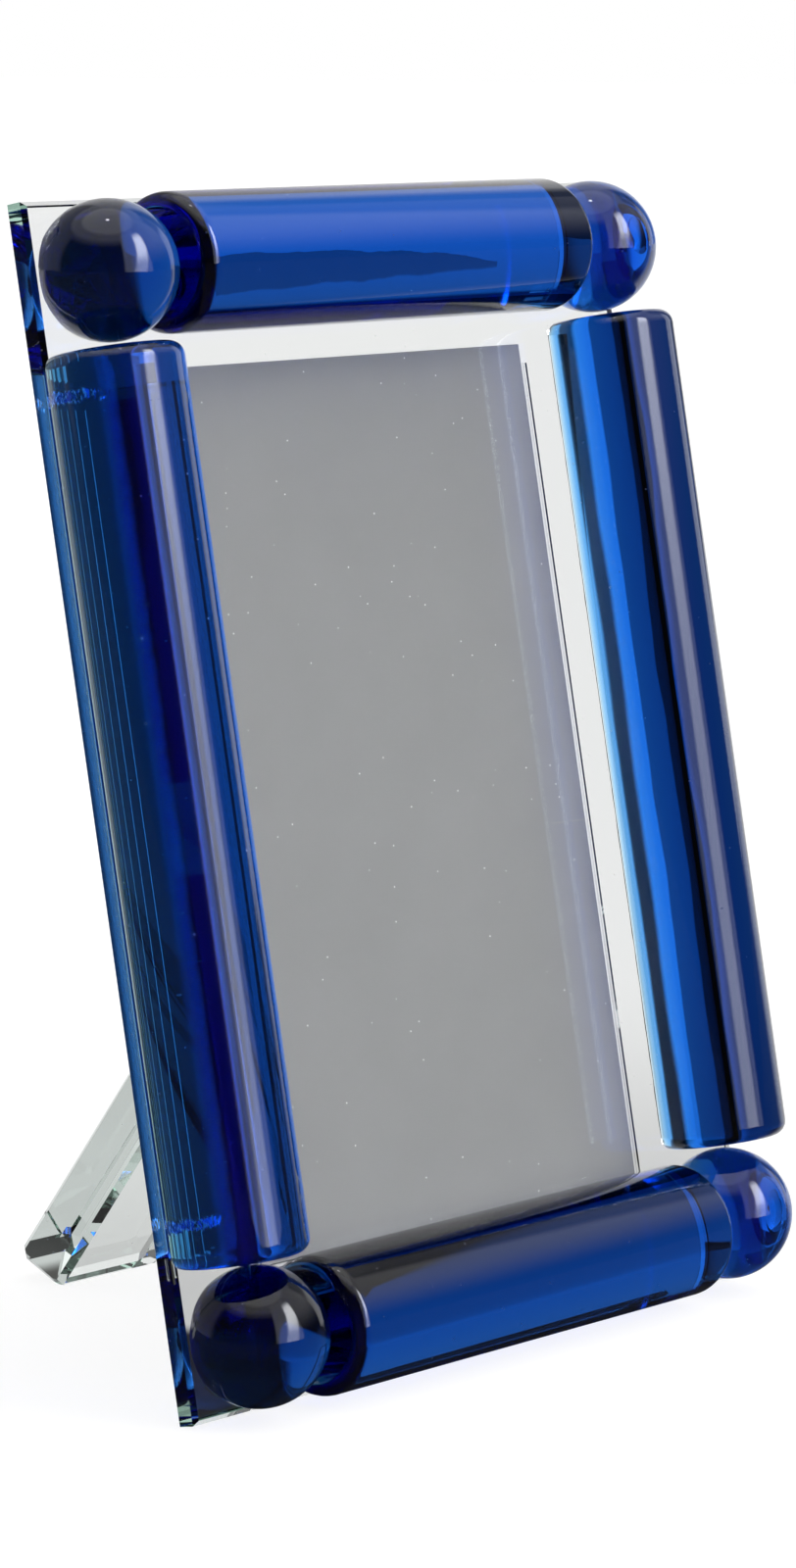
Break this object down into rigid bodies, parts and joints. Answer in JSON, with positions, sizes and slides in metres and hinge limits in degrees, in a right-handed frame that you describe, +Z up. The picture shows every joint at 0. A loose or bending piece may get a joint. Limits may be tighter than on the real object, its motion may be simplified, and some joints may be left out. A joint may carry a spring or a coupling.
{
  "type": "glass picture frame",
  "caption": "Upright photo frame: a clear bevelled glass plate edged with cobalt glass rods and corner balls, with a photo pocket behind it, leaning on a glass leg.",
  "frame": {"origin": "on the surface that the frame stands on, under the middle of its bounding box", "axes": "+Z up; the picture faces -Y and the leg stands behind, at +Y; +X is to the right of someone who looks at the picture"},
  "size_m": [0.1556, 0.117, 0.2027],
  "materials": {
    "clear_glass": "polished",
    "cobalt_glass": "polished",
    "grey_card": "matt"
  },
  "bodies": {
    "frame": {"front_plate": "clear_glass", "back_plate": "clear_glass", "left_strip": "clear_glass", "right_strip": "clear_glass", "bottom_strip": "clear_glass", "leg": "clear_glass", "left_rod": "cobalt_glass", "right_rod": "cobalt_glass", "top_rod": "cobalt_glass", "bottom_rod": "cobalt_glass", "top_left_ball": "cobalt_glass", "top_right_ball": "cobalt_glass", "bottom_left_ball": "cobalt_glass", "bottom_right_ball": "cobalt_glass"},
    "card": {"photo_card": "grey_card"}
  },
  "joints": [
    {"name": "card_lift", "type": "slide", "parent": "frame", "child": "card", "axis": [0, 0.184, 0.9829], "range_m": [0, 0.185]}
  ]
}
